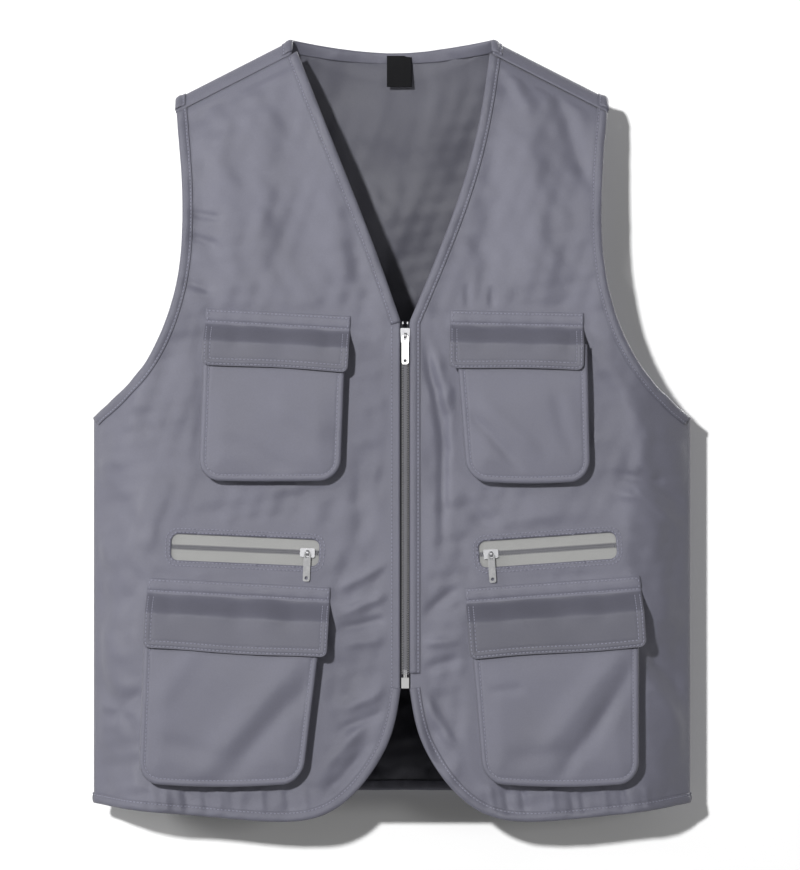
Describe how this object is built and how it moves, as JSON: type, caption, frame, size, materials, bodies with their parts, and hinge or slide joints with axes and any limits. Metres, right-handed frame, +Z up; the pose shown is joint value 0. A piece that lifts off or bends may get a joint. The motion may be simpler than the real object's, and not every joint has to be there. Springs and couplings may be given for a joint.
{
  "type": "fishing vest",
  "caption": "Sleeveless fishing vest with a full front zip, flapped box pockets on chest and hips, zip pockets between them and bound edges, hanging from its shoulders.",
  "frame": {"origin": "middle of the line between the two neck points, at the top of the shoulders, where a hanger holds the vest", "axes": "+X the wearer's left, -Y the front, +Z up"},
  "size_m": [0.5712, 0.1029, 0.7426],
  "materials": {
    "vest_cloth": "satin",
    "binding_cloth": "satin",
    "hook_and_loop": "rough",
    "label_cloth": "woven satin",
    "zip_tape": "woven",
    "zip_tape_dark": "woven",
    "pocket_lining": "plain weave",
    "zip_teeth": "satin",
    "zip_box": "satin",
    "zip_metal": "polished"
  },
  "bodies": {
    "back": {"back_panel": "vest_cloth", "back_neck_binding": "binding_cloth", "back_armhole_binding_left": "binding_cloth", "back_armhole_binding_right": "binding_cloth", "back_hem_binding": "binding_cloth", "size_label": "label_cloth"},
    "front_right": {"front_panel_right": "vest_cloth", "armhole_binding_right": "binding_cloth", "hem_binding_right": "binding_cloth", "neck_binding_right": "binding_cloth", "zip_tape_right": "zip_tape_dark", "zip_teeth_right": "zip_teeth", "zip_top_stop_right": "zip_metal", "zip_box": "zip_box", "pocket_zip_tape_right": "zip_tape", "pocket_zip_teeth_right": "zip_teeth", "pocket_bag_right": "pocket_lining", "chest_right_flap_band": "vest_cloth", "chest_right_loop_patch": "hook_and_loop", "chest_right_pocket_face": "vest_cloth", "chest_right_pocket_gusset": "vest_cloth", "hip_right_flap_band": "vest_cloth", "hip_right_loop_patch": "hook_and_loop", "hip_right_pocket_face": "vest_cloth", "hip_right_pocket_gusset": "vest_cloth"},
    "front_left": {"front_panel_left": "vest_cloth", "armhole_binding_left": "binding_cloth", "hem_binding_left": "binding_cloth", "neck_binding_left": "binding_cloth", "zip_tape_left": "zip_tape_dark", "zip_teeth_left": "zip_teeth", "zip_top_stop_left": "zip_metal", "zip_insertion_pin": "zip_box", "pocket_zip_tape_left": "zip_tape", "pocket_zip_teeth_left": "zip_teeth", "pocket_bag_left": "pocket_lining", "chest_left_flap_band": "vest_cloth", "chest_left_loop_patch": "hook_and_loop", "chest_left_pocket_face": "vest_cloth", "chest_left_pocket_gusset": "vest_cloth", "hip_left_flap_band": "vest_cloth", "hip_left_loop_patch": "hook_and_loop", "hip_left_pocket_face": "vest_cloth", "hip_left_pocket_gusset": "vest_cloth"},
    "main_slider": {"main_slider": "zip_metal"},
    "main_pull": {"main_pull_tab": "zip_metal"},
    "pocket_slider_right": {"pocket_slider_right": "zip_metal"},
    "pocket_pull_right": {"pocket_pull_tab_right": "zip_metal"},
    "pocket_slider_left": {"pocket_slider_left": "zip_metal"},
    "pocket_pull_left": {"pocket_pull_tab_left": "zip_metal"},
    "chest_right_flap": {"chest_right_flap": "vest_cloth", "chest_right_hook_patch": "hook_and_loop"},
    "chest_left_flap": {"chest_left_flap": "vest_cloth", "chest_left_hook_patch": "hook_and_loop"},
    "hip_right_flap": {"hip_right_flap": "vest_cloth", "hip_right_hook_patch": "hook_and_loop"},
    "hip_left_flap": {"hip_left_flap": "vest_cloth", "hip_left_hook_patch": "hook_and_loop"}
  },
  "joints": [
    {"name": "front_right_swing", "type": "hinge", "parent": "back", "child": "front_right", "pos_m": [-0.285, 0, -0.545], "axis": [0, 0, -1], "range_deg": [0, 50]},
    {"name": "front_left_swing", "type": "hinge", "parent": "back", "child": "front_left", "pos_m": [0.285, 0, -0.545], "axis": [0, 0, 1], "range_deg": [0, 50]},
    {"name": "main_slider_slide", "type": "slide", "parent": "front_right", "child": "main_slider", "axis": [0, 0, -1], "range_m": [0, 0.3167], "deforming": ["zip_teeth_left", "zip_teeth_right"]},
    {"name": "main_pull_hinge", "type": "hinge", "parent": "main_slider", "child": "main_pull", "pos_m": [0.0125, -0.0421, -0.283], "axis": [-1, 0, 0], "range_deg": [0, 175]},
    {"name": "pocket_slider_right_slide", "type": "slide", "parent": "front_right", "child": "pocket_slider_right", "axis": [-0.999, 0, 0.0436], "range_m": [0, 0.12], "deforming": ["pocket_zip_teeth_right"]},
    {"name": "pocket_pull_right_hinge", "type": "hinge", "parent": "pocket_slider_right", "child": "pocket_pull_right", "pos_m": [-0.08006, -0.0421, -0.48857], "axis": [-0.999, 0, 0.0436], "range_deg": [0, 170]},
    {"name": "pocket_slider_left_slide", "type": "slide", "parent": "front_left", "child": "pocket_slider_left", "axis": [0.9976, 0, 0.0698], "range_m": [0, 0.11], "deforming": ["pocket_zip_teeth_left"]},
    {"name": "pocket_pull_left_hinge", "type": "hinge", "parent": "pocket_slider_left", "child": "pocket_pull_left", "pos_m": [0.09363, -0.0421, -0.48977], "axis": [-0.9976, 0, -0.0698], "range_deg": [0, 170]},
    {"name": "chest_right_flap_hinge", "type": "hinge", "parent": "front_right", "child": "chest_right_flap", "pos_m": [-0.1083, -0.0417, -0.27528], "axis": [-0.9984, 0, 0.0558], "range_deg": [0, 100]},
    {"name": "chest_left_flap_hinge", "type": "hinge", "parent": "front_left", "child": "chest_left_flap", "pos_m": [0.1182, -0.0417, -0.2748], "axis": [-0.9998, 0, 0.0209], "range_deg": [0, 100]},
    {"name": "hip_right_flap_hinge", "type": "hinge", "parent": "front_right", "child": "hip_right_flap", "pos_m": [-0.14527, -0.0417, -0.53128], "axis": [-0.9985, 0, 0.0541], "range_deg": [0, 100]},
    {"name": "hip_left_flap_hinge", "type": "hinge", "parent": "front_left", "child": "hip_left_flap", "pos_m": [0.15302, -0.0417, -0.53076], "axis": [-0.9974, 0, -0.0715], "range_deg": [0, 100]}
  ]
}
